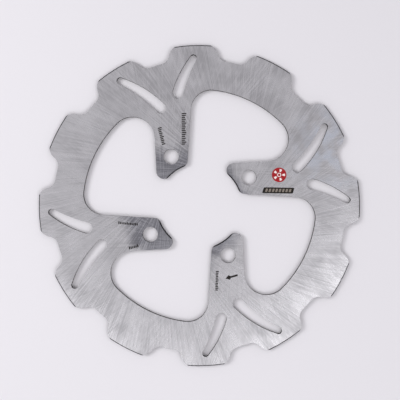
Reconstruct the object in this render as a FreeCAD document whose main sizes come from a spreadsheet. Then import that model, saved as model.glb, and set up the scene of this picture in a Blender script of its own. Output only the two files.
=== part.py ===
"""One-piece wave brake disc for a light motorcycle, with its round maker's badge.

The disc lies in the XY plane, back face at Z = 0 and badge face up. The Z axis is the wheel axis.
Four arms run inward from the friction band to the hub bolts. Each arm is parallel to X or Y but
stands beside the centre, so the four make a pinwheel. All lengths are millimetres.
"""

import FreeCAD, Part
import math
import os

import Sketcher

V = FreeCAD.Vector
Z_UP = V(0, 0, 1)

ARMS = 4
WAVES = 12
# A round takes at most this share of the radius that leaves its wall no straight run.
ROUND_SHARE = 0.997

# Driving sizes: name, value and what it measures. Angles are degrees, counter-clockwise from +X.
SIZES = (
    ("outer_diameter", 220.0, "rim, as turned"),
    ("thickness", 3.0, "ground plate, from face to face"),
    ("edge_chamfer", 0.7, "turned chamfer of the rim and of the bore"),
    ("bolt_circle_diameter", 78.0, "circle through the hub bolt centres"),
    ("bolt_hole_diameter", 10.5, "clearance hole of one hub bolt"),
    ("bolt_angle", 30.0, "direction of the first bolt from the disc's centre"),
    ("pilot_land", 10.0, "bolt centre to the bore that centres the disc on the hub"),
    ("band_width", 30.0, "rim to the windows' outer arc: the track of the pads"),
    ("arm_lead_offset", 10.5, "bolt centre to the arm's outer side"),
    ("arm_trail_offset", 11.4, "bolt centre to the arm's inner side"),
    ("arm_lead_taper", 2.8, "lean of the outer side from the arm's direction"),
    ("arm_trail_taper", 3.5, "lean of the inner side from the arm's direction"),
    ("arm_corner_radius", 5.0, "round of an arm's end where it meets the bore"),
    ("window_lead_radius", 15.2, "window corner beside the arm's outer side"),
    ("window_trail_radius", 14.2, "window corner beside the next arm's inner side"),
    ("notch_depth", 9.8, "rim to the bottom of a wave"),
    ("notch_width", 17.2, "wave bottom between its two flank lines"),
    ("notch_flank_angle", 26.2, "lean of each flank from the wave's own axis"),
    ("notch_fillet_radius", 7.0, "round between a wave's bottom and its flank"),
    ("lobe_shoulder_radius", 8.7, "round of a lobe's shoulder, as cut"),
    ("turning_allowance", 0.6, "taken off the cut blank's radius when the rim is turned"),
    ("lobe_angle", 2.4, "direction of the first lobe's middle"),
    ("slot_rim_inset", 8.8, "rim to the centre of a slot's outer end"),
    ("slot_outer_width", 4.8, "slot width at its outer end"),
    ("slot_inner_width", 7.6, "slot width at its inner end"),
    ("slot_hollow_radius", 73.0, "side of a slot that curves away from its partner"),
    ("slot_bulge_radius", 100.0, "side of a slot that curves towards its partner"),
    ("short_slot_reach", 39.5, "bolt circle to the centre of the short slot's inner end"),
    ("short_slot_swing", 8.6, "turn from the short slot's outer end to its inner end"),
    ("long_slot_reach", 33.0, "bolt circle to the centre of the long slot's inner end"),
    ("long_slot_swing", 10.8, "turn from the long slot's outer end back to its inner end"),
    ("badge_diameter", 10.0, "round foil badge"),
    ("badge_thickness", 0.12, "printed foil and its adhesive"),
    ("badge_reach", 19.5, "bolt circle to the badge's centre"),
    ("badge_angle", 21.4, "direction of the badge from the disc's centre"),
)

os.makedirs("parts", exist_ok=True)
doc = FreeCAD.newDocument("wave_brake_disc")
sheet = doc.addObject("Spreadsheet::Sheet", "sizes")
for row, (name, number, meaning) in enumerate(SIZES, start=1):
    sheet.set(f"A{row}", meaning)
    sheet.set(f"B{row}", str(number))
    sheet.setAlias(f"B{row}", name)
doc.recompute()


def size(name):
    """A driving size, read back from the sheet."""
    return float(sheet.get(name))


def polar(radius, degrees):
    """The point at that distance and direction from the wheel axis."""
    return V(radius * math.cos(math.radians(degrees)), radius * math.sin(math.radians(degrees)), 0)


def beside_line(normal_degrees, offset, radius):
    """The outward point at `radius` from the axis that lies `offset` along a line's normal."""
    along = math.sqrt(radius**2 - offset**2)
    return polar(offset, normal_degrees) + polar(along, normal_degrees - 90)


def to_radius(point, radius):
    """The point seen in the same direction from the axis, at another radius."""
    return point * (radius / point.Length)


# ---------------------------------------------------------------- sketching


def new_sketch(body, name):
    """An empty sketch on the body's own XY plane."""
    plane = next(f for f in body.Origin.OriginFeatures if f.Role == "XY_Plane")
    sketch = body.newObject("Sketcher::SketchObject", name)
    sketch.AttachmentSupport = [(plane, "")]
    sketch.MapMode = "FlatFace"
    return sketch


def bind(sketch, name, expression, *constraint):
    """Adds a dimension and ties it to the sheet by an expression."""
    index = sketch.addConstraint(Sketcher.Constraint(*constraint))
    sketch.renameConstraint(index, name)
    sketch.setExpression(f"Constraints.{name}", expression)


def line(start, end):
    """A straight piece of an outline."""
    return {"edge": Part.LineSegment(start, end), "first": 1, "last": 2}


def arc(centre, start, end, turn):
    """A round piece of an outline; turn is +1 counter-clockwise or -1 clockwise."""
    low, high = (start, end) if turn > 0 else (end, start)
    circle = Part.Circle(centre, Z_UP, (start - centre).Length)
    angles = [math.atan2(p.y - centre.y, p.x - centre.x) for p in (low, high)]
    if angles[1] < angles[0]:
        angles[1] += 2 * math.pi
    first, last = (1, 2) if turn > 0 else (2, 1)
    return {"edge": Part.ArcOfCircle(circle, *angles), "first": first, "last": last}


def draw_loop(sketch, pieces, sharp=()):
    """Draws a closed outline; neighbours are tangent, except after the pieces named in sharp."""
    names = list(pieces)
    index = {name: sketch.addGeometry(pieces[name]["edge"], False) for name in names}
    for name, following in zip(names, names[1:] + names[:1]):
        kind = "Coincident" if name in sharp else "Tangent"
        ends = (index[name], pieces[name]["last"], index[following], pieces[following]["first"])
        sketch.addConstraint(Sketcher.Constraint(kind, *ends))
    return index


def centre_on_axis(sketch, geometry):
    """Puts an arc's or a circle's centre on the wheel axis."""
    sketch.addConstraint(Sketcher.Constraint("Coincident", geometry, 3, -1, 1))


def place(sketch, name, geometry, point, x_expression, y_expression):
    """Dimensions one point of a piece from the wheel axis."""
    where = sketch.getPoint(geometry, point)
    bind(sketch, f"{name}_x", x_expression, "DistanceX", -1, 1, geometry, point, where.x)
    bind(sketch, f"{name}_y", y_expression, "DistanceY", -1, 1, geometry, point, where.y)


def check_sketch(sketch):
    """Stops the build if the sketch is over- or under-constrained."""
    if sketch.solve() != 0 or not sketch.FullyConstrained:
        raise RuntimeError(f"{sketch.Name} is not fully constrained")


# ---------------------------------------------------------------- features


def new_body(name):
    body = doc.addObject("PartDesign::Body", name)
    body.Label = name
    return body


def pad(body, sketch, name, length):
    """Raises a sketch upward by a named size."""
    feature = body.newObject("PartDesign::Pad", name)
    feature.Profile = sketch
    feature.setExpression("Length", f"sizes.{length}")
    doc.recompute()
    return feature


def cut_through(body, sketch, name):
    """Cuts a sketch up through the plate, and makes sure that it removed metal."""
    check_sketch(sketch)
    before = body.Shape.Volume
    feature = body.newObject("PartDesign::Pocket", name)
    feature.Profile = sketch
    feature.Type = "ThroughAll"
    feature.Reversed = True
    doc.recompute()
    if not body.Shape.Volume < before:
        raise RuntimeError(f"{name} cut nothing")
    return feature


def repeat(body, features, name, count):
    """Repeats features evenly round the wheel axis."""
    pattern = body.newObject("PartDesign::PolarPattern", name)
    pattern.Originals = features
    axis = next(f for f in body.Origin.OriginFeatures if f.Role == "Z_Axis")
    pattern.Axis = (axis, [""])
    pattern.Angle = 360
    pattern.Occurrences = count
    body.Tip = pattern
    doc.recompute()
    return pattern


# ---------------------------------------------------------------- brake disc

RIM = "sizes.outer_diameter / 2"
BOLT = "sizes.bolt_circle_diameter / 2"
BORE = f"({BOLT} - sizes.pilot_land)"

rim_radius = size("outer_diameter") / 2
bolt_radius = size("bolt_circle_diameter") / 2
bore_radius = bolt_radius - size("pilot_land")


def draw_blank(body):
    """The ring that everything is cut from, with its turned chamfers on rim and bore."""
    sketch = new_sketch(body, "blank_sketch")
    for name, radius, expression in (("rim", rim_radius, RIM), ("bore", bore_radius, BORE)):
        circle = sketch.addGeometry(Part.Circle(V(), Z_UP, radius), False)
        centre_on_axis(sketch, circle)
        bind(sketch, name, expression, "Radius", circle, radius)
    check_sketch(sketch)
    blank = pad(body, sketch, "blank", "thickness")
    chamfer = body.newObject("PartDesign::Chamfer", "turned_chamfers")
    edges = enumerate(blank.Shape.Edges, start=1)
    round_edges = [f"Edge{i}" for i, edge in edges if isinstance(edge.Curve, Part.Circle)]
    chamfer.Base = (blank, round_edges)
    chamfer.setExpression("Size", "sizes.edge_chamfer")
    doc.recompute()


def limited_round(name, outer, inner, other, offset):
    """A round's radius and its expression, limited by the straight wall that it runs out of.

    The wall stands at `offset` from the axis and runs out from a round of radius `other`, which
    touches the circle `inner`, to this round, which touches the circle `outer` from within. Each
    of the last four arguments is a value and its expression.
    """
    limit = outer[0] ** 2 - inner[0] ** 2 - 2 * other[0] * (inner[0] + offset[0])
    limit *= ROUND_SHARE / (2 * (outer[0] + offset[0]))
    span = f"({outer[1]} ^ 2 - {inner[1]} ^ 2 - 2 * {other[1]} * ({inner[1]} + {offset[1]}))"
    room = f"{ROUND_SHARE} * {span} / (2 * ({outer[1]} + {offset[1]}))"
    return min(size(name), limit), f"min(sizes.{name}; {room})"


def draw_notch(body):
    """One wave of the rim: a round-bottomed notch whose flanks run out in round shoulders."""
    root = rim_radius - size("notch_depth")
    blank = rim_radius + size("turning_allowance")
    lean = size("notch_flank_angle")
    fillet = size("notch_fillet_radius")
    half = size("notch_width") / 2
    # Distance of the flank line from the axis, measured along the flank's normal.
    corner = V(math.sqrt(root**2 - half**2), half, 0)
    normal = lean + 90
    offset = corner.dot(polar(1, normal))
    root_expression = f"({RIM} - sizes.notch_depth)"
    blank_expression = f"({RIM} + sizes.turning_allowance)"
    turned, half_expression = "sizes.notch_flank_angle * 1 deg", "sizes.notch_width / 2"
    reach = f"sqrt({root_expression} ^ 2 - ({half_expression}) ^ 2)"
    shoulder, shoulder_expression = limited_round(
        "lobe_shoulder_radius",
        (blank, blank_expression),
        (root, root_expression),
        (fillet, "sizes.notch_fillet_radius"),
        (offset, f"({half_expression} * cos({turned}) - {reach} * sin({turned}))"),
    )
    fillet_centre = beside_line(normal, offset - fillet, root + fillet)
    shoulder_centre = beside_line(normal, offset + shoulder, blank - shoulder)
    upper = {
        "root_end": to_radius(fillet_centre, root),
        "flank_in": fillet_centre + polar(fillet, normal),
        "flank_out": shoulder_centre - polar(shoulder, normal),
        "rim_end": to_radius(shoulder_centre, blank),
        "fillet_centre": fillet_centre,
        "shoulder_centre": shoulder_centre,
    }
    lower = {name: V(point.x, -point.y, 0) for name, point in upper.items()}
    sketch = new_sketch(body, "notch_sketch")
    pieces = {
        "root": arc(V(), lower["root_end"], upper["root_end"], 1),
        "upper_fillet": arc(upper["fillet_centre"], upper["root_end"], upper["flank_in"], -1),
        "upper_flank": line(upper["flank_in"], upper["flank_out"]),
        "upper_shoulder": arc(upper["shoulder_centre"], upper["flank_out"], upper["rim_end"], 1),
        "outside": arc(V(), upper["rim_end"], lower["rim_end"], -1),
        "lower_shoulder": arc(lower["shoulder_centre"], lower["rim_end"], lower["flank_out"], 1),
        "lower_flank": line(lower["flank_out"], lower["flank_in"]),
        "lower_fillet": arc(lower["fillet_centre"], lower["flank_in"], lower["root_end"], -1),
    }
    at = draw_loop(sketch, pieces)
    for name in ("root", "outside"):
        centre_on_axis(sketch, at[name])
    bind(sketch, "root_radius", root_expression, "Radius", at["root"], root)
    bind(sketch, "blank_radius", blank_expression, "Radius", at["outside"], blank)
    bind(sketch, "fillet", "sizes.notch_fillet_radius", "Radius", at["upper_fillet"], fillet)
    bind(sketch, "shoulder", shoulder_expression, "Radius", at["upper_shoulder"], shoulder)
    sketch.addConstraint(Sketcher.Constraint("Equal", at["upper_fillet"], at["lower_fillet"]))
    sketch.addConstraint(Sketcher.Constraint("Equal", at["upper_shoulder"], at["lower_shoulder"]))
    sketch.addConstraint(Sketcher.Constraint("Equal", at["upper_flank"], at["lower_flank"]))
    lean_rad = math.radians(lean)
    bind(sketch, "upper_lean", turned, "Angle", at["upper_flank"], lean_rad)
    bind(
        sketch,
        "lower_lean",
        "(180 - sizes.notch_flank_angle) * 1 deg",
        "Angle",
        at["lower_flank"],
        math.pi - lean_rad,
    )
    mark = sketch.addGeometry(Part.Point(corner), True)
    sketch.addConstraint(Sketcher.Constraint("PointOnObject", mark, 1, at["upper_flank"]))
    sketch.addConstraint(Sketcher.Constraint("PointOnObject", mark, 1, at["root"]))
    bind(sketch, "half_width", half_expression, "DistanceY", -1, 1, mark, 1, half)
    # The first notch stands half a wave round from the first lobe.
    turn = FreeCAD.Rotation(Z_UP, size("lobe_angle") + 180 / WAVES)
    sketch.AttachmentOffset = FreeCAD.Placement(V(), turn)
    sketch.setExpression("AttachmentOffset.Rotation.Angle", f"(sizes.lobe_angle + {180 / WAVES}) * 1 deg")
    return cut_through(body, sketch, "notch")


def draw_window(body):
    """The open quarter between one arm's outer side and the next arm's inner side."""
    band = rim_radius - size("band_width")
    corner = size("arm_corner_radius")
    bolt = polar(bolt_radius, size("bolt_angle"))
    next_bolt = polar(bolt_radius, size("bolt_angle") + 360 / ARMS)
    lead_normal = size("arm_lead_taper") + 90
    trail_normal = 360 / ARMS - size("arm_trail_taper") + 90
    lead_offset = bolt.dot(polar(1, lead_normal)) + size("arm_lead_offset")
    trail_offset = next_bolt.dot(polar(1, trail_normal)) - size("arm_trail_offset")
    lead_turn = "cos((90 + sizes.arm_lead_taper - sizes.bolt_angle) * 1 deg)"
    trail_turn = "cos((90 - sizes.arm_trail_taper - sizes.bolt_angle) * 1 deg)"
    lead_wall = (lead_offset, f"({BOLT} * {lead_turn} + sizes.arm_lead_offset)")
    trail_wall = (-trail_offset, f"(sizes.arm_trail_offset - {BOLT} * {trail_turn})")
    rounds = ((band, f"({RIM} - sizes.band_width)"), (bore_radius, BORE), (corner, "sizes.arm_corner_radius"))
    lead, lead_expression = limited_round("window_lead_radius", *rounds, lead_wall)
    trail, trail_expression = limited_round("window_trail_radius", *rounds, trail_wall)
    nose = beside_line(lead_normal, lead_offset - corner, bore_radius + corner)
    lead_centre = beside_line(lead_normal, lead_offset + lead, band - lead)
    trail_centre = beside_line(trail_normal, trail_offset - trail, band - trail)
    heel = beside_line(trail_normal, trail_offset + corner, bore_radius + corner)
    nose_end = to_radius(nose, bore_radius)
    lead_in = nose + polar(corner, lead_normal)
    lead_out = lead_centre - polar(lead, lead_normal)
    band_start = to_radius(lead_centre, band)
    band_end = to_radius(trail_centre, band)
    trail_out = trail_centre + polar(trail, trail_normal)
    trail_in = heel - polar(corner, trail_normal)
    heel_end = to_radius(heel, bore_radius)
    sketch = new_sketch(body, "window_sketch")
    pieces = {
        "nose": arc(nose, nose_end, lead_in, -1),
        "lead_side": line(lead_in, lead_out),
        "lead_corner": arc(lead_centre, lead_out, band_start, 1),
        "band": arc(V(), band_start, band_end, 1),
        "trail_corner": arc(trail_centre, band_end, trail_out, 1),
        "trail_side": line(trail_out, trail_in),
        "heel": arc(heel, trail_in, heel_end, -1),
        "chord": line(heel_end, nose_end),
    }
    at = draw_loop(sketch, pieces, sharp=("heel", "chord"))
    bore = sketch.addGeometry(Part.Circle(V(), Z_UP, bore_radius), True)
    for name in (at["band"], bore):
        centre_on_axis(sketch, name)
    for name in ("nose", "heel"):
        free_end = pieces[name]["first"] if name == "nose" else pieces[name]["last"]
        sketch.addConstraint(Sketcher.Constraint("Tangent", at[name], free_end, bore))
    bind(sketch, "bore_radius", BORE, "Radius", bore, bore_radius)
    bind(sketch, "band_radius", f"{RIM} - sizes.band_width", "Radius", at["band"], band)
    bind(sketch, "lead_radius", lead_expression, "Radius", at["lead_corner"], lead)
    bind(sketch, "trail_radius", trail_expression, "Radius", at["trail_corner"], trail)
    bind(sketch, "end_radius", "sizes.arm_corner_radius", "Radius", at["nose"], corner)
    sketch.addConstraint(Sketcher.Constraint("Equal", at["nose"], at["heel"]))
    lead_rad = math.radians(size("arm_lead_taper"))
    bind(sketch, "lead_lean", "sizes.arm_lead_taper * 1 deg", "Angle", at["lead_side"], lead_rad)
    bind(
        sketch,
        "trail_lean",
        f"({-180 + 360 / ARMS} - sizes.arm_trail_taper) * 1 deg",
        "Angle",
        at["trail_side"],
        math.radians(-180 + 360 / ARMS - size("arm_trail_taper")),
    )
    sides = (
        ("lead", bolt, 0, "lead_side", "arm_lead_offset"),
        ("trail", next_bolt, 360 / ARMS, "trail_side", "arm_trail_offset"),
    )
    for name, centre, turn, side, offset in sides:
        mark = sketch.addGeometry(Part.Point(centre), True)
        direction = f"(sizes.bolt_angle + {turn}) * 1 deg"
        place(sketch, f"{name}_bolt", mark, 1, f"{BOLT} * cos({direction})", f"{BOLT} * sin({direction})")
        bind(sketch, f"{name}_wall", f"sizes.{offset}", "Distance", mark, 1, at[side], size(offset))
    return cut_through(body, sketch, "window")


def draw_slot(body, name, lobe, swing_sign):
    """One tapered, bowed slot, from under a lobe's middle inward to the root of the arm.

    swing_sign is +1 where the inner end lies counter-clockwise of the outer end.
    """
    outer_radius = size("slot_outer_width") / 2
    inner_radius = size("slot_inner_width") / 2
    hollow, bulge = size("slot_hollow_radius"), size("slot_bulge_radius")
    outer_angle = size("lobe_angle") + lobe * 360 / WAVES
    inner_angle = outer_angle + swing_sign * size(f"{name}_swing")
    outer = polar(rim_radius - size("slot_rim_inset"), outer_angle)
    inner = polar(bolt_radius + size(f"{name}_reach"), inner_angle)
    # Each side is one arc that touches both end rounds: inside them on the hollow side, outside on
    # the bulging side. Its centre is found from its distances to the two end centres.
    hollow_centre = arc_centre(inner, outer, hollow - inner_radius, hollow - outer_radius, -swing_sign)
    bulge_centre = arc_centre(inner, outer, bulge + inner_radius, bulge + outer_radius, -swing_sign)
    inner_hollow = touch(hollow_centre, inner, inner_radius)
    outer_hollow = touch(hollow_centre, outer, outer_radius)
    inner_bulge = touch(bulge_centre, inner, -inner_radius)
    outer_bulge = touch(bulge_centre, outer, -outer_radius)
    sketch = new_sketch(body, f"{name}_sketch")
    pieces = {
        "inner_end": arc(inner, inner_bulge, inner_hollow, -swing_sign),
        "hollow_side": arc(hollow_centre, inner_hollow, outer_hollow, -swing_sign),
        "outer_end": arc(outer, outer_hollow, outer_bulge, -swing_sign),
        "bulging_side": arc(bulge_centre, outer_bulge, inner_bulge, swing_sign),
    }
    at = draw_loop(sketch, pieces)
    outer_direction = f"(sizes.lobe_angle + {lobe * 360 / WAVES})"
    inner_direction = f"({outer_direction} + {swing_sign} * sizes.{name}_swing)"
    outer_reach = f"({RIM} - sizes.slot_rim_inset)"
    inner_reach = f"({BOLT} + sizes.{name}_reach)"
    ends = (
        ("outer_end", outer_direction, outer_reach, "slot_outer_width", outer_radius),
        ("inner_end", inner_direction, inner_reach, "slot_inner_width", inner_radius),
    )
    for end, direction, reach, width, radius in ends:
        place(
            sketch,
            end,
            at[end],
            3,
            f"{reach} * cos({direction} * 1 deg)",
            f"{reach} * sin({direction} * 1 deg)",
        )
        bind(sketch, f"{end}_radius", f"sizes.{width} / 2", "Radius", at[end], radius)
    bind(sketch, "hollow", "sizes.slot_hollow_radius", "Radius", at["hollow_side"], hollow)
    bind(sketch, "bulge", "sizes.slot_bulge_radius", "Radius", at["bulging_side"], bulge)
    return cut_through(body, sketch, name)


def arc_centre(start, end, from_start, from_end, side):
    """The point at two given distances from start and end, left (+1) or right (-1) of start-end."""
    chord = end - start
    along = (from_start**2 - from_end**2 + chord.Length**2) / (2 * chord.Length)
    across = math.sqrt(from_start**2 - along**2)
    ahead = chord / chord.Length
    return start + ahead * along + V(-ahead.y, ahead.x, 0) * (side * across)


def touch(centre, end, reach):
    """The point `reach` beyond an end's centre, seen from the side arc's centre."""
    ray = end - centre
    return end + ray * (reach / ray.Length)


def draw_bolt_hole(body):
    """One plain clearance hole for a hub bolt."""
    radius = size("bolt_hole_diameter") / 2
    sketch = new_sketch(body, "bolt_hole_sketch")
    circle = sketch.addGeometry(Part.Circle(polar(bolt_radius, size("bolt_angle")), Z_UP, radius), False)
    direction = "sizes.bolt_angle * 1 deg"
    place(sketch, "bolt", circle, 3, f"{BOLT} * cos({direction})", f"{BOLT} * sin({direction})")
    bind(sketch, "hole_radius", "sizes.bolt_hole_diameter / 2", "Radius", circle, radius)
    return cut_through(body, sketch, "bolt_hole")


def make_brake_disc():
    """Ring, waves, windows, slots and bolt holes, each cut once and then repeated."""
    body = new_body("brake_disc")
    draw_blank(body)
    repeat(body, [draw_notch(body)], "waves", WAVES)
    repeat(body, [draw_window(body)], "windows", ARMS)
    # Two slots of each arm close in on its root like a V, from two neighbouring lobes.
    short_slot = draw_slot(body, "short_slot", 0, 1)
    long_slot = draw_slot(body, "long_slot", 1, -1)
    repeat(body, [short_slot, long_slot], "slots", ARMS)
    repeat(body, [draw_bolt_hole(body)], "bolt_holes", ARMS)
    return body


# ---------------------------------------------------------------- badge


def make_badge():
    """Thin round foil, stuck on the front face at the root of the first arm."""
    body = new_body("badge")
    sketch = new_sketch(body, "badge_sketch")
    reach, angle = bolt_radius + size("badge_reach"), size("badge_angle")
    radius = size("badge_diameter") / 2
    circle = sketch.addGeometry(Part.Circle(polar(reach, angle), Z_UP, radius), False)
    reach, direction = f"({BOLT} + sizes.badge_reach)", "sizes.badge_angle * 1 deg"
    place(sketch, "badge", circle, 3, f"{reach} * cos({direction})", f"{reach} * sin({direction})")
    bind(sketch, "badge_radius", "sizes.badge_diameter / 2", "Radius", circle, radius)
    check_sketch(sketch)
    sketch.AttachmentOffset = FreeCAD.Placement(V(0, 0, size("thickness")), FreeCAD.Rotation())
    sketch.setExpression("AttachmentOffset.Base.z", "sizes.thickness")
    pad(body, sketch, "foil", "badge_thickness")
    return body


# ---------------------------------------------------------------- build, check and write

bodies = [make_brake_disc(), make_badge()]
doc.recompute()

for item in doc.Objects:
    if "Invalid" in item.State or "Error" in item.State:
        raise RuntimeError(f"{item.Name} did not build")

for body in bodies:
    shape = body.Shape
    if shape.isNull() or not shape.isValid() or len(shape.Solids) != 1:
        raise RuntimeError(f"{body.Label} is not one valid solid")

for body in bodies:
    body.Shape.exportStep(f"parts/{body.Label}.step")
    box = body.Shape.BoundBox
    extent = f"{box.XLength:.2f} x {box.YLength:.2f} x {box.ZLength:.2f}"
    print(f"{body.Label}: {extent}, {body.Shape.Volume:.0f} mm3")
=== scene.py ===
"""Looks of a one-piece wave brake disc: ground steel, cut walls, marks, foil badge and studio.

Laid out as an add-on and run as a script. Lengths in the formulas are millimetres, and become
metres when they are put into a mesh.
"""

import math

import bpy
import numpy as np
from mathutils import Matrix, Vector


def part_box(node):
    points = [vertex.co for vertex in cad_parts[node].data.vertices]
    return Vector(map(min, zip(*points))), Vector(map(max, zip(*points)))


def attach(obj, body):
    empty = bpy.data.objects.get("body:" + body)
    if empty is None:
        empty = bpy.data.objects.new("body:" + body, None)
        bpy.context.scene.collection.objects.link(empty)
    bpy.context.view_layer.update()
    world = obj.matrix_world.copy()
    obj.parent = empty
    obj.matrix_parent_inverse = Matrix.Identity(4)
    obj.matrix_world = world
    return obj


bl_info = {
    "name": "Wave Brake Disc",
    "version": (1, 0, 0),
    "blender": (4, 5, 0),
    "location": "3D View > Sidebar > Brake Disc",
    "description": "Finishes a ground steel brake disc, its marks and its badge, and lights them",
    "category": "Object",
}

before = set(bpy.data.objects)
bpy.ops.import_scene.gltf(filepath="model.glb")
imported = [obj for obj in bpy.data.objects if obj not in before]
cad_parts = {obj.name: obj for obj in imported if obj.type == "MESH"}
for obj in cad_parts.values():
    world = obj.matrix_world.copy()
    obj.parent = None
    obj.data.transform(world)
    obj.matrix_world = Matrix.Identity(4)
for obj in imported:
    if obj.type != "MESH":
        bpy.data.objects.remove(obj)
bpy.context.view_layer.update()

MM = 0.001
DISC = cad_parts["brake_disc"]
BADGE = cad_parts["badge"]
DISC_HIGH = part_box("brake_disc")[1]
BADGE_LOW, BADGE_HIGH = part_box("badge")
FACE_HEIGHT = DISC_HIGH.z / MM
RIM_RADIUS = DISC_HIGH.x / MM
BADGE_CENTRE = (BADGE_LOW + BADGE_HIGH) / 2 / MM

# Grinding hairs, layer by layer: how many fit round the rim and how long each is, as shares of
# the settings, which way they lean, where their noise starts, how strongly they show, and where.
HAIR_LAYERS = (
    (1.0, 1.0, 1, 3.0, 1.8, "bite"),
    (0.8, 0.7, -1, 11.0, 1.1, "bite"),
    (0.33, 0.6, 1, 23.0, 3.2, "arms"),
    (0.3, 0.5, -1, 31.0, 1.8, "arms"),
    (0.08, 1.5, 1, 41.0, 0.9, "everywhere"),
)
# Clouds of the grinding, and patches where the wheel bit deeper, in millimetres across.
CLOUD_SIZE, CLOUD_STRENGTH, PATCH_SIZE = 18, 2.2, 26
# The hairs of the arms are full inside the first radius and faint outside the second.
ARM_HAIRS_FULL, ARM_HAIRS_FAINT = 48.0, 84.0
# How much rougher the hairs' bottoms are, and smoother their crests, than the setting.
ROUGHNESS_SPREAD = 0.07
# Oil haze and painted camera reflection: centre, radii at which each starts and stops fading, and
# strength.
HAZE_CENTRE, HAZE_FULL, HAZE_NONE, HAZE_STRENGTH = (92.0, 40.0, 0.0), 8.0, 40.0, 0.5
# Painted reflection: a darker patch round the middle stands for the dark camera mirrored in the
# steel.
CAMERA_REFLECTION_CENTRE, CAMERA_REFLECTION_FULL, CAMERA_REFLECTION_NONE = (-11.0, -1.0, 0.0), 36.0, 47.0
CAMERA_REFLECTION_STRENGTH, CAMERA_REFLECTION_RAGGED = 0.8, 26.0
CAMERA_REFLECTION_DARK, CAMERA_REFLECTION_LIGHT = "#93949c", "#cacbd0"
LATHE_PITCH = 0.12

# Badge: number of petals, middle and half width of their belt, and the small ring inside them.
PETALS, BELT_RADIUS, BELT_HALF = 5, 3.1, 0.9
RING_RADIUS, RING_HALF = 1.15, 0.26

# Slanted bar: centre, lean of its upright sides, turn, and its row of light bars.
BAR_CENTRE, BAR_SLANT, BAR_TURN = (53.9, 10.7), 0.3, -1.0
BAR_CELLS, BAR_END, BAR_GAP, BAR_MARGIN = 8, 1.3, 0.85, 0.9

# Each row of ticks: centre, direction, length, height and spacing of its ticks.
TICK_ROWS = {
    "scale_marks_top_inner": ((-10.6, 52.8), -90.0, 21.0, 3.2, 1.3),
    "scale_marks_top_outer": ((-25.8, 47.9), -75.0, 11.6, 2.8, 1.25),
    "scale_marks_left_upper": ((-48.9, -11.9), -5.0, 12.8, 1.8, 1.15),
    "scale_marks_left_lower": ((-45.2, -27.9), 15.0, 6.6, 2.1, 1.15),
    "scale_marks_bottom": ((12.0, -51.2), -92.0, 13.0, 2.1, 1.15),
}
ARROW_TAIL, ARROW_TIP = (26.1, -47.3), (17.7, -49.7)
ARROW_SHAFT, ARROW_HEAD, ARROW_HEAD_LENGTH = 1.25, 3.4, 2.9

FLOOR_REACH, FLOOR_GAP, FLOOR_STEPS = 3000, 0.02, 9
EYE_SIDE, EYE_UP = -1.5, 9.6
CAMERA_TARGET = (0.31, 4.15)
# Brightness of the room level with the floor and overhead, and what is left of it where the
# camera's stand shades it.
ROOM_LEVEL, ROOM_TOP, STAND_SHADE = 0.47, 0.84, 0.77
# Each softbox: name, place, side and watts. All face the disc's centre.
SOFTBOXES = (
    ("key_left", (-840, 220, 740), 420, 5.2),
    ("fill_low_right", (430, -460, 900), 580, 2.15),
    ("fill_low_left", (-300, -500, 900), 520, 0.8),
)


def linear(code):
    """An sRGB hex colour as linear red, green, blue and alpha."""
    parts = np.array([int(code[i : i + 2], 16) for i in (1, 3, 5)]) / 255
    low, high = parts / 12.92, ((parts + 0.055) / 1.055) ** 2.4
    return (*np.where(parts <= 0.04045, low, high), 1.0)


def shaded(tone, factor=1.0):
    """A setting's colour made darker or lighter by a factor, with its alpha."""
    return (*(factor * part for part in tone), 1.0)


# ---------------------------------------------------------------- settings


def length(name, text, value):
    """A length in metres, with its default given in millimetres."""
    return bpy.props.FloatProperty(
        name=name, description=text, default=value * MM, min=0, unit="LENGTH", precision=5
    )


def colour(name, text, code):
    """A colour, with its default given as sRGB hex."""
    return bpy.props.FloatVectorProperty(
        name=name,
        description=text,
        default=linear(code)[:3],
        size=3,
        min=0,
        max=1,
        subtype="COLOR",
    )


class SteelSettings(bpy.types.PropertyGroup):
    """Colours and sizes of the disc's ground faces and cut walls."""

    light: colour("Light steel", "Ground face where the hairs catch the light", "#cecdd0")
    dark: colour("Dark steel", "Ground face in the bottom of the hairs", "#a4a3a6")
    wall: colour("Cut wall", "Walls left by the laser", "#36322f")
    # The turned chamfers' near-black colour is painted dark reflection of the dim room beyond the
    # table.
    turned: colour("Turned chamfer", "Chamfers of the rim and of the bore", "#38383b")
    haze: colour("Oil haze", "Faint film on one side of the friction band", "#c3ccdb")
    hair: length("Hair width", "Width of one grinding hair at the rim", 0.42)
    run: length("Hair length", "Length over which one hair fades out", 34.0)
    tangent: length("Grinding circle", "Circle that every grinding line just touches", 25.0)
    roughness: bpy.props.FloatProperty(
        name="Roughness",
        description="Roughness of the ground faces",
        default=0.31,
        min=0,
        max=1,
        subtype="FACTOR",
    )


class MarkSettings(bpy.types.PropertyGroup):
    """Colours and sizes of the laser marks and of the slanted bar."""

    ink: colour("Mark", "Dark oxide of the laser marks", "#16120f")
    tint: colour("Tinted steel", "Steel tinted by a quick pass of the laser", "#958c82")
    film: length("Film", "Thickness of a mark on the face", 0.02)
    stroke: length("Stroke", "Width of one tick", 0.8)
    bar_length: length("Bar length", "Slanted bar from end to end", 21.0)
    bar_height: length("Bar height", "Slanted bar across", 4.0)


class BadgeSettings(bpy.types.PropertyGroup):
    """Colours of the foil badge."""

    field: colour("Field", "Printed field of the badge", "#a60b16")
    motif: colour("Motif", "Plain petals printed on the field", "#f0e4e2")


class StageSettings(bpy.types.PropertyGroup):
    """Floor, room and camera."""

    paper: colour("Floor", "Matte paper under the disc", "#e4e2e6")
    room: colour("Room", "Colour of the light from the room", "#f7f5f9")
    height: length("Camera height", "Camera above the floor", 453.0)
    lens: bpy.props.FloatProperty(
        name="Lens", description="Focal length in millimetres", default=59.2, min=10
    )


GROUPS = {
    "disc_steel": SteelSettings,
    "disc_marks": MarkSettings,
    "disc_badge": BadgeSettings,
    "disc_stage": StageSettings,
}


# ---------------------------------------------------------------- materials


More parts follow.
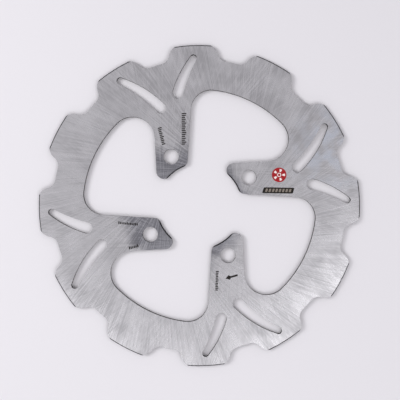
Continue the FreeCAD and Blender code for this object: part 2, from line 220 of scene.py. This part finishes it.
def add_node(tree, kind, inputs=None, output=0, **settings):
    """Adds a node, applies its settings, fills or links its inputs, and returns one output."""
    node = tree.nodes.new("ShaderNode" + kind)
    for name, value in settings.items():
        setattr(node, name, value)
    for socket, value in (inputs or {}).items():
        if isinstance(value, bpy.types.NodeSocket):
            tree.links.new(value, node.inputs[socket])
        else:
            node.inputs[socket].default_value = value
    return node.outputs[output] if node.outputs else None


def new_material(name):
    """An empty material and its node tree."""
    material = bpy.data.materials.new(name)
    material.use_nodes = True
    material.node_tree.nodes.clear()
    return material, material.node_tree


def finish_material(tree, inputs):
    """Ends a material with one Principled shader, whose constants sit on its own sockets."""
    surface = add_node(tree, "BsdfPrincipled", inputs)
    add_node(tree, "OutputMaterial", {"Surface": surface})


def millimetres(tree):
    """Object coordinates in millimetres, and the same with no height."""
    place = add_node(tree, "TexCoord", output="Object")
    place = add_node(tree, "VectorMath", {0: place, "Scale": 1 / MM}, operation="SCALE")
    flat = add_node(tree, "VectorMath", {0: place, 1: (1, 1, 0)}, operation="MULTIPLY")
    return place, flat


def grinding_hairs(tree, flat, radius, tangent, hairs, run, side, shift):
    """Hairs along the straight lines that just touch a circle round the wheel axis.

    Such a line crosses radius r at the angle acos(tangent / r) round from where it touches, so
    turning each point back by that angle gives one direction per line. That direction, times
    `hairs`, and the radius over `run`, are the noise's three coordinates. The result is centred
    on nought.
    """
    ratio = add_node(tree, "Math", {0: tangent, 1: radius}, operation="DIVIDE", use_clamp=True)
    turn = add_node(tree, "Math", {0: ratio}, operation="ARCCOSINE")
    back = add_node(tree, "Math", {0: turn, 1: -side}, operation="MULTIPLY")
    line = add_node(
        tree, "VectorRotate", {"Vector": flat, "Angle": back}, rotation_type="Z_AXIS"
    )
    line = add_node(tree, "VectorMath", {0: line}, operation="NORMALIZE")
    along = add_node(tree, "Math", {0: radius, 1: 1 / run, 2: shift}, operation="MULTIPLY_ADD")
    depth = add_node(tree, "CombineXYZ", {"Z": along})
    place = add_node(
        tree, "VectorMath", {0: line, 1: (hairs,) * 3, 2: depth}, operation="MULTIPLY_ADD"
    )
    hair = add_node(
        tree, "TexNoise", {"Vector": place, "Scale": 1.0, "Detail": 2.0, "Roughness": 0.6}
    )
    return add_node(tree, "Math", {0: hair, 1: 0.5}, operation="SUBTRACT")


def grinding_depth(tree, flat, settings):
    """How deep the wheel bit, from about 0 to 1: hair layers over broad clouds."""
    radius = add_node(tree, "VectorMath", {0: flat}, "Value", operation="LENGTH")
    tangent, run = settings.tangent / MM, settings.run / MM
    # Real hairs are about 0.05 mm wide; they are drawn eight times as coarse so that they show.
    hairs = RIM_RADIUS / (settings.hair / MM)
    patches = add_node(
        tree, "TexNoise", {"Vector": flat, "Scale": 1 / PATCH_SIZE, "Detail": 1.0}
    )
    where = {
        # The wheel bit deeper in some places than in others.
        "bite": add_node(tree, "MapRange", {"Value": patches, 1: 0.35, 2: 0.65, 3: 0.5, 4: 1.5}),
        # The coarser hairs belong to the arms and fade out across the friction band.
        "arms": add_node(
            tree,
            "MapRange",
            {"Value": radius, 1: ARM_HAIRS_FULL, 2: ARM_HAIRS_FAINT, 3: 1.3, 4: 0.25},
            interpolation_type="SMOOTHSTEP",
        ),
        "everywhere": 1.0,
    }
    clouds = add_node(
        tree,
        "TexNoise",
        {"Vector": flat, "Scale": 1 / CLOUD_SIZE, "Detail": 3.0, "Roughness": 0.6},
    )
    total = add_node(
        tree,
        "Math",
        {0: clouds, 1: CLOUD_STRENGTH, 2: 0.5 - CLOUD_STRENGTH / 2},
        operation="MULTIPLY_ADD",
    )
    for share, run_share, side, shift, strength, place in HAIR_LAYERS:
        hair = grinding_hairs(
            tree, flat, radius, tangent, hairs * share, run * run_share, side, shift
        )
        weight = add_node(tree, "Math", {0: where[place], 1: strength}, operation="MULTIPLY")
        total = add_node(
            tree, "Math", {0: hair, 1: weight, 2: total}, operation="MULTIPLY_ADD"
        )
    return total, radius


def ground_face(tree, flat, depth, settings):
    """Colour of a ground face: its hairs, a faint oil haze, and painted camera reflection round
    the bolts.
    """
    tones = {0: depth, 6: shaded(settings.dark), 7: shaded(settings.light)}
    face = add_node(tree, "Mix", tones, 2, data_type="RGBA")

    away = add_node(
        tree, "VectorMath", {0: flat, 1: HAZE_CENTRE}, "Value", operation="DISTANCE"
    )
    spot = add_node(
        tree,
        "MapRange",
        {"Value": away, 1: HAZE_FULL, 2: HAZE_NONE, 3: HAZE_STRENGTH, 4: 0.0},
        interpolation_type="SMOOTHSTEP",
    )
    streaks = add_node(tree, "TexNoise", {"Vector": flat, "Scale": 0.11, "Detail": 4.0})
    streaks = add_node(tree, "MapRange", {"Value": streaks, 1: 0.4, 2: 0.65})
    haze = add_node(tree, "Math", {0: spot, 1: streaks}, operation="MULTIPLY")
    tones = {0: haze, 6: face, 7: shaded(settings.haze)}
    face = add_node(tree, "Mix", tones, 2, data_type="RGBA")

    # Painted reflection: darken the steel round the bolts, streaked along the hairs, where the
    # dark camera and its stand would be mirrored.
    reach = add_node(
        tree, "VectorMath", {0: flat, 1: CAMERA_REFLECTION_CENTRE}, "Value", operation="DISTANCE"
    )
    ragged = add_node(tree, "TexNoise", {"Vector": flat, "Scale": 0.07, "Detail": 3.0})
    ragged = add_node(
        tree,
        "Math",
        {0: ragged, 1: CAMERA_REFLECTION_RAGGED, 2: -CAMERA_REFLECTION_RAGGED / 2},
        operation="MULTIPLY_ADD",
    )
    reach = add_node(tree, "Math", {0: reach, 1: ragged}, operation="ADD")
    painted_reflection = add_node(
        tree,
        "MapRange",
        {"Value": reach, 1: CAMERA_REFLECTION_FULL, 2: CAMERA_REFLECTION_NONE, 3: CAMERA_REFLECTION_STRENGTH, 4: 0.0},
        interpolation_type="SMOOTHSTEP",
    )
    streaks = add_node(tree, "MapRange", {"Value": depth, 1: 0.2, 2: 0.8})
    tones = {0: streaks, 6: linear(CAMERA_REFLECTION_DARK), 7: linear(CAMERA_REFLECTION_LIGHT)}
    tint = add_node(tree, "Mix", tones, 2, data_type="RGBA")
    layers = {0: painted_reflection, 6: face, 7: tint}
    return add_node(tree, "Mix", layers, 2, data_type="RGBA", blend_type="MULTIPLY")


def ground_steel(settings):
    """Stainless steel plate, laser cut and then face ground.

    Grinding leaves fine hairs that cross each other and cloudy bands where the wheel bit deeper.
    The cut walls keep the laser's upright ripples and a dull oxide, and the chamfers of the rim
    and of the bore keep the lathe's rings.
    """
    material, tree = new_material("ground_stainless_steel")
    place, flat = millimetres(tree)
    depth, radius = grinding_depth(tree, flat, settings)
    face = ground_face(tree, flat, depth, settings)
    rough, gloss = settings.roughness + ROUGHNESS_SPREAD, settings.roughness - ROUGHNESS_SPREAD
    face_rough = add_node(tree, "MapRange", {"Value": depth, 1: 0.0, 2: 1.0, 3: rough, 4: gloss})

    # Upright ripples of the cut: about 0.4 mm round the outline, unbroken from face to face.
    upright = (2.6, 2.6, 0.25)
    ripples = add_node(tree, "VectorMath", {0: place, 1: upright}, operation="MULTIPLY")
    ripples = add_node(tree, "TexNoise", {"Vector": ripples, "Scale": 1.0})
    oxide = add_node(tree, "TexNoise", {"Vector": place, "Scale": 0.35})
    oxide = add_node(tree, "Math", {0: oxide, 1: 0.3}, operation="MULTIPLY")
    scale = add_node(tree, "Math", {0: ripples, 1: 0.9, 2: oxide}, operation="MULTIPLY_ADD")
    tones = {0: scale, 6: shaded(settings.wall, 0.45), 7: shaded(settings.wall)}
    wall = add_node(tree, "Mix", tones, 2, data_type="RGBA")

    # Rings of the lathe tool on the chamfers, whose near-black colour is painted dark reflection
    # of the dim room beyond the table.
    phase = add_node(
        tree, "Math", {0: radius, 1: 2 * math.pi / LATHE_PITCH}, operation="MULTIPLY"
    )
    rings = add_node(tree, "Math", {0: phase}, operation="SINE")
    rings = add_node(tree, "Math", {0: rings, 1: 0.2, 2: 0.7}, operation="MULTIPLY_ADD")
    tones = {0: rings, 6: shaded(settings.turned, 0.6), 7: shaded(settings.turned)}
    chamfer = add_node(tree, "Mix", tones, 2, data_type="RGBA")

    # The upward part of the normal tells walls (0), chamfers (0.7) and faces (1) apart.
    normal = add_node(tree, "NewGeometry", output="True Normal")
    facing = add_node(tree, "SeparateXYZ", {0: normal}, "Z")
    facing = add_node(tree, "Math", {0: facing}, operation="ABSOLUTE")
    on_wall = add_node(tree, "MapRange", {"Value": facing, 1: 0.3, 2: 0.5, 3: 1.0, 4: 0.0})
    on_side = add_node(tree, "MapRange", {"Value": facing, 1: 0.85, 2: 0.95, 3: 1.0, 4: 0.0})
    sides = add_node(tree, "Mix", {0: on_wall, 6: chamfer, 7: wall}, 2, data_type="RGBA")
    shade = add_node(tree, "Mix", {0: on_side, 6: face, 7: sides}, 2, data_type="RGBA")
    side_rough = add_node(
        tree, "Math", {0: on_wall, 1: 0.16, 2: 0.34}, operation="MULTIPLY_ADD"
    )
    rough = add_node(tree, "Mix", {0: on_side, 2: face_rough, 3: side_rough})
    relief = add_node(tree, "Mix", {0: on_side, 2: depth, 3: ripples})
    bump = add_node(tree, "Bump", {"Height": relief, "Strength": 0.4, "Distance": 0.012 * MM})
    finish_material(
        tree, {"Metallic": 1.0, "Base Color": shade, "Roughness": rough, "Normal": bump}
    )
    return material


def laser_mark(settings):
    """Laser annealing on steel: a dark brown-black oxide, dull, with a speckled tone."""
    material, tree = new_material("laser_annealed_mark")
    place, _ = millimetres(tree)
    grain = add_node(tree, "TexNoise", {"Vector": place, "Scale": 3.0})
    speckle = add_node(tree, "MapRange", {"Value": grain, 1: 0.35, 2: 0.75})
    tones = {0: speckle, 6: shaded(settings.ink), 7: shaded(settings.ink, 1.8)}
    shade = add_node(tree, "Mix", tones, 2, data_type="RGBA")
    rough = add_node(tree, "MapRange", {"Value": grain, 1: 0.2, 2: 0.8, 3: 0.42, 4: 0.62})
    finish_material(
        tree, {"Base Color": shade, "Roughness": rough, "Specular IOR Level": 0.2}
    )
    return material


def laser_tint(settings):
    """Steel after one quick pass of the laser: still metal, with a thin straw-brown tint."""
    material, tree = new_material("laser_tinted_steel")
    place, _ = millimetres(tree)
    grain = add_node(tree, "TexNoise", {"Vector": place, "Scale": 2.0})
    tones = {0: grain, 6: shaded(settings.tint, 0.8), 7: shaded(settings.tint)}
    shade = add_node(tree, "Mix", tones, 2, data_type="RGBA")
    finish_material(tree, {"Metallic": 1.0, "Base Color": shade, "Roughness": 0.38})
    return material


def printed_foil(settings):
    """Glossy printed polyester foil: flat ink under a clear film with a faint orange peel."""
    material, tree = new_material("printed_gloss_foil")
    _, flat = millimetres(tree)
    centre = (BADGE_CENTRE.x, BADGE_CENTRE.y, 0)
    flat = add_node(tree, "VectorMath", {0: flat, 1: centre}, operation="SUBTRACT")
    reach = add_node(tree, "VectorMath", {0: flat}, "Value", operation="LENGTH")
    across = add_node(tree, "SeparateXYZ", {0: flat}, "X")
    upward = add_node(tree, "SeparateXYZ", {0: flat}, "Y")
    angle = add_node(tree, "Math", {0: upward, 1: across}, operation="ARCTAN2")

    # Plain petals across a belt, round a small ring.
    wave = add_node(tree, "Math", {0: angle, 1: PETALS}, operation="MULTIPLY")
    wave = add_node(tree, "Math", {0: wave}, operation="COSINE")
    petals = add_node(tree, "MapRange", {"Value": wave, 1: 0.35, 2: 0.5})
    belt = add_node(tree, "Math", {0: reach, 1: BELT_RADIUS}, operation="SUBTRACT")
    belt = add_node(tree, "Math", {0: belt}, operation="ABSOLUTE")
    edge = {1: BELT_HALF - 0.05, 2: BELT_HALF + 0.05, 3: 1.0, 4: 0.0}
    belt = add_node(tree, "MapRange", {"Value": belt, **edge})
    petals = add_node(tree, "Math", {0: petals, 1: belt}, operation="MULTIPLY")
    ring = add_node(tree, "Math", {0: reach, 1: RING_RADIUS}, operation="SUBTRACT")
    ring = add_node(tree, "Math", {0: ring}, operation="ABSOLUTE")
    edge = {1: RING_HALF - 0.04, 2: RING_HALF + 0.04, 3: 1.0, 4: 0.0}
    ring = add_node(tree, "MapRange", {"Value": ring, **edge})
    motif = add_node(tree, "Math", {0: petals, 1: ring}, operation="MAXIMUM")

    grain = add_node(tree, "TexNoise", {"Vector": flat, "Scale": 1.4})
    tones = {0: grain, 6: shaded(settings.field, 0.75), 7: shaded(settings.field)}
    red = add_node(tree, "Mix", tones, 2, data_type="RGBA")
    tones = {0: motif, 6: red, 7: shaded(settings.motif)}
    shade = add_node(tree, "Mix", tones, 2, data_type="RGBA")
    rough = add_node(tree, "MapRange", {"Value": grain, 1: 0.3, 2: 0.7, 3: 0.24, 4: 0.34})
    bump = add_node(tree, "Bump", {"Height": grain, "Strength": 0.2, "Distance": 0.01 * MM})
    constants = {"Specular IOR Level": 0.3, "Coat Weight": 0.2, "Coat Roughness": 0.06}
    finish_material(
        tree, {"Base Color": shade, "Roughness": rough, "Normal": bump, **constants}
    )
    return material


def matte_paper(settings):
    """Seamless studio paper: matte, with a faint fibre grain."""
    material, tree = new_material("matte_studio_paper")
    place, _ = millimetres(tree)
    grain = add_node(tree, "TexNoise", {"Vector": place, "Scale": 0.6, "Detail": 3.0})
    tones = {0: grain, 6: shaded(settings.paper, 0.985), 7: shaded(settings.paper)}
    shade = add_node(tree, "Mix", tones, 2, data_type="RGBA")
    finish_material(tree, {"Base Color": shade, "Roughness": 0.9})
    return material


# ---------------------------------------------------------------- surfaces


def mesh_object(name, points, faces, material):
    """An object at the origin from an array of points in millimetres and its faces."""
    mesh = bpy.data.meshes.new(name)
    mesh.from_pydata((points * MM).tolist(), [], faces)
    mesh.materials.append(material)
    mesh.update()
    piece = bpy.data.objects.new(name, mesh)
    bpy.context.scene.collection.objects.link(piece)
    return piece


def grid_faces(rows, columns, closed):
    """Quads between neighbours of a rows x columns grid, joined round the columns if closed."""
    last = columns if closed else columns - 1
    row, column = np.meshgrid(np.arange(rows - 1), np.arange(last), indexing="ij")
    a = row * columns + column
    b = row * columns + (column + 1) % columns
    return np.stack([a, b, b + columns, a + columns], axis=-1).reshape(-1, 4)


def films(name, outlines, low, material, thickness):
    """One piece of closed flat films, one for each outline, standing on height `low`.

    An outline is an array of points, counter-clockwise. Four rings follow it, each at
    centre + share * (outline - centre): a tenth and full on the underside, full and a tenth on
    top. The two small rings are closed by one face each.
    """
    shares = np.array([0.1, 1.0, 1.0, 0.1])[:, None, None]
    heights = low + thickness * np.array([0, 0, 1, 1])[:, None, None]
    points, faces, start = [], [], 0
    for outline in outlines:
        count = len(outline)
        centre = outline.mean(axis=0)
        flat = centre + shares * (outline - centre)
        levels = np.broadcast_to(heights, (4, count, 1))
        points.append(np.concatenate([flat, levels], axis=2).reshape(-1, 3))
        faces += (grid_faces(4, count, True) + start).tolist()
        faces.append(list(range(start + count - 1, start - 1, -1)))
        faces.append(list(range(start + 3 * count, start + 4 * count)))
        start += 4 * count
    piece = mesh_object(name, np.concatenate(points), faces, material)
    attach(piece, "root")
    return piece


def placed(points, degrees, centre):
    """Points turned about the origin and then moved to a centre."""
    a = math.radians(degrees)
    spin = np.array([[math.cos(a), math.sin(a)], [-math.sin(a), math.cos(a)]])
    return points @ spin + np.array(centre)


def rounded_bar(width, height, slant=0.0, round_power=6.0, steps=32):
    """A bar with rounded corners whose upright sides lean by `slant` per unit of height.

    At angle t the outline is width/2 * sign(cos t) |cos t|^(2/power) across and the same with
    sin t and the height upward, and x then gains slant * y.
    """
    t = np.linspace(0, 2 * np.pi, steps, endpoint=False) + np.pi / steps
    c, s = np.cos(t), np.sin(t)
    x = width / 2 * np.sign(c) * np.abs(c) ** (2 / round_power)
    y = height / 2 * np.sign(s) * np.abs(s) ** (2 / round_power)
    return np.stack([x + slant * y, y], axis=1)


def tick_row(centre, direction, row_length, height, spacing, stroke):
    """Evenly spaced ticks, each fifth one full height and the others shorter, on one side."""
    count = int(row_length / spacing) + 1
    outlines = []
    for index in range(count):
        tall = height if index % 5 == 0 else height * (0.86 if index % 2 else 0.74)
        middle = ((index - (count - 1) / 2) * spacing, (tall - height) / 2)
        outlines.append(placed(rounded_bar(stroke, tall) + middle, direction, centre))
    return outlines


def arrow_outline():
    """A plain arrow: seven corners round a straight shaft and a triangular head."""
    tail, tip = np.array(ARROW_TAIL), np.array(ARROW_TIP)
    ahead = (tip - tail) / np.linalg.norm(tip - tail)
    left = np.array([-ahead[1], ahead[0]])
    neck = tip - ahead * ARROW_HEAD_LENGTH
    shaft, head = left * ARROW_SHAFT / 2, left * ARROW_HEAD / 2
    return np.array(
        [tail - shaft, neck - shaft, neck - head, tip, neck + head, neck + shaft, tail + shaft]
    )


# ---------------------------------------------------------------- operators


class DISC_OT_steel(bpy.types.Operator):
    """Give the disc its ground faces, cut walls and turned chamfers"""

    bl_idname = "brake_disc.steel"
    bl_label = "Ground steel"

    def execute(self, context):
        DISC.data.materials.clear()
        DISC.data.materials.append(ground_steel(context.scene.disc_steel))
        return {"FINISHED"}


class DISC_OT_badge(bpy.types.Operator):
    """Print the round foil badge"""

    bl_idname = "brake_disc.badge"
    bl_label = "Foil badge"

    def execute(self, context):
        BADGE.data.materials.clear()
        BADGE.data.materials.append(printed_foil(context.scene.disc_badge))
        return {"FINISHED"}


class DISC_OT_label_bar(bpy.types.Operator):
    """Mark the slanted dark bar and its row of lighter bars on the first arm"""

    bl_idname = "brake_disc.label_bar"
    bl_label = "Slanted bar"

    def execute(self, context):
        marks = context.scene.disc_marks
        width, height, film = marks.bar_length / MM, marks.bar_height / MM, marks.film / MM
        outline = placed(rounded_bar(width, height, BAR_SLANT, 14.0, 64), BAR_TURN, BAR_CENTRE)
        films("label_bar", [outline], FACE_HEIGHT, mark_ink(marks), film)
        pitch = (width - 2 * BAR_END) / BAR_CELLS
        cell = rounded_bar(pitch - BAR_GAP, height - 2 * BAR_MARGIN, BAR_SLANT, 8.0)
        middles = (np.arange(BAR_CELLS) - (BAR_CELLS - 1) / 2) * pitch
        cells = [placed(cell + (middle, 0), BAR_TURN, BAR_CENTRE) for middle in middles]
        films("label_bar_hatch", cells, FACE_HEIGHT + film, laser_tint(marks), film / 2)
        return {"FINISHED"}


class DISC_OT_scales(bpy.types.Operator):
    """Mark the rows of plain ticks on the other arms"""

    bl_idname = "brake_disc.scales"
    bl_label = "Tick rows"

    def execute(self, context):
        marks = context.scene.disc_marks
        for name, row in TICK_ROWS.items():
            ticks = tick_row(*row, marks.stroke / MM)
            films(name, ticks, FACE_HEIGHT, mark_ink(marks), marks.film / MM)
        return {"FINISHED"}


class DISC_OT_arrow(bpy.types.Operator):
    """Mark the arrow that shows which way the wheel turns"""

    bl_idname = "brake_disc.arrow"
    bl_label = "Turning arrow"

    def execute(self, context):
        marks = context.scene.disc_marks
        ink, film = mark_ink(marks), marks.film / MM
        films("turning_arrow", [arrow_outline()], FACE_HEIGHT, ink, film)
        return {"FINISHED"}


def mark_ink(settings):
    """The marks' one material, made with the first mark and shared by the rest."""
    return bpy.data.materials.get("laser_annealed_mark") or laser_mark(settings)


def light_room(scene, stage):
    """A pale room: dimmer level with the floor, brighter overhead, shaded round the camera."""
    world = bpy.data.worlds.new("studio")
    scene.world = world
    world.use_nodes = True
    tree = world.node_tree
    tree.nodes.clear()
    ray = add_node(tree, "TexCoord", output="Generated")
    up = add_node(tree, "SeparateXYZ", {0: ray}, "Z")
    glow = add_node(
        tree,
        "MapRange",
        {"Value": up, 1: 0.45, 2: 0.93, 3: ROOM_LEVEL, 4: ROOM_TOP},
        interpolation_type="SMOOTHSTEP",
    )
    stand = add_node(
        tree,
        "MapRange",
        {"Value": up, 1: 0.955, 2: 0.998, 3: 1.0, 4: STAND_SHADE},
        interpolation_type="SMOOTHSTEP",
    )
    glow = add_node(tree, "Math", {0: glow, 1: stand}, operation="MULTIPLY")
    sky = add_node(tree, "Background", {"Color": shaded(stage.room), "Strength": glow})
    add_node(tree, "OutputWorld", {"Surface": sky})


def hang_softbox(scene, name, place, side, power):
    """A square area light that faces the disc's centre."""
    data = bpy.data.lights.new(name, "AREA")
    data.size, data.energy = side * MM, power
    light = bpy.data.objects.new(name, data)
    light.location = Vector(place) * MM
    light.rotation_mode = "QUATERNION"
    light.rotation_quaternion = (-Vector(place)).to_track_quat("-Z", "Y")
    scene.collection.objects.link(light)


def set_camera(scene, stage):
    """A camera over the disc, with the first arm's direction to the right."""
    lens = bpy.data.cameras.new("camera")
    lens.sensor_width, lens.lens = 36.0, stage.lens
    lens.clip_start, lens.clip_end = 0.01, 20.0
    camera = bpy.data.objects.new("camera", lens)
    eye = Vector((EYE_SIDE, EYE_UP, stage.height / MM))
    camera.location = eye * MM
    back = (eye - Vector((*CAMERA_TARGET, FACE_HEIGHT))).normalized()
    right = Vector((0, 1, 0)).cross(back).normalized()
    axes = Matrix((right, back.cross(right), back)).transposed()
    camera.rotation_mode = "QUATERNION"
    camera.rotation_quaternion = axes.to_quaternion()
    scene.collection.objects.link(camera)
    scene.camera = camera


class DISC_OT_stage(bpy.types.Operator):
    """Lay the pale floor, light the room and set the camera over the disc"""

    bl_idname = "brake_disc.stage"
    bl_label = "Studio"

    def execute(self, context):
        scene, stage = context.scene, context.scene.disc_stage
        side = np.linspace(-FLOOR_REACH, FLOOR_REACH, FLOOR_STEPS)
        x, y = np.meshgrid(side, side)
        points = np.stack([x, y, np.full_like(x, -FLOOR_GAP)], axis=-1).reshape(-1, 3)
        faces = grid_faces(FLOOR_STEPS, FLOOR_STEPS, False).tolist()
        floor = mesh_object("studio_floor", points, faces, matte_paper(stage))
        light_room(scene, stage)
        for softbox in SOFTBOXES:
            hang_softbox(scene, *softbox)
        set_camera(scene, stage)
        scene.view_settings.view_transform = "Standard"
        return {"FINISHED"}


OPERATORS = (
    DISC_OT_steel,
    DISC_OT_badge,
    DISC_OT_label_bar,
    DISC_OT_scales,
    DISC_OT_arrow,
    DISC_OT_stage,
)


class DISC_PT_panel(bpy.types.Panel):
    """Sidebar list of the disc's settings and operators"""

    bl_idname = "DISC_PT_panel"
    bl_label = "Brake Disc"
    bl_space_type = "VIEW_3D"
    bl_region_type = "UI"
    bl_category = "Brake Disc"

    def draw(self, context):
        for name, group in GROUPS.items():
            for setting in group.__annotations__:
                self.layout.prop(getattr(context.scene, name), setting)
        for operator in OPERATORS:
            self.layout.operator(operator.bl_idname, text=operator.bl_label)


CLASSES = (*GROUPS.values(), *OPERATORS, DISC_PT_panel)


def register():
    """Register the classes and give the scene its settings"""
    for cls in CLASSES:
        bpy.utils.register_class(cls)
    for name, group in GROUPS.items():
        setattr(bpy.types.Scene, name, bpy.props.PointerProperty(type=group))


def unregister():
    """Take the settings and the classes away again"""
    for name in GROUPS:
        delattr(bpy.types.Scene, name)
    for cls in reversed(CLASSES):
        bpy.utils.unregister_class(cls)


def main():
    """Finish the disc piece by piece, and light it"""
    register()
    bpy.ops.brake_disc.steel()
    bpy.ops.brake_disc.badge()
    bpy.ops.brake_disc.label_bar()
    bpy.ops.brake_disc.scales()
    bpy.ops.brake_disc.arrow()
    bpy.ops.brake_disc.stage()


if __name__ == "__main__":
    main()
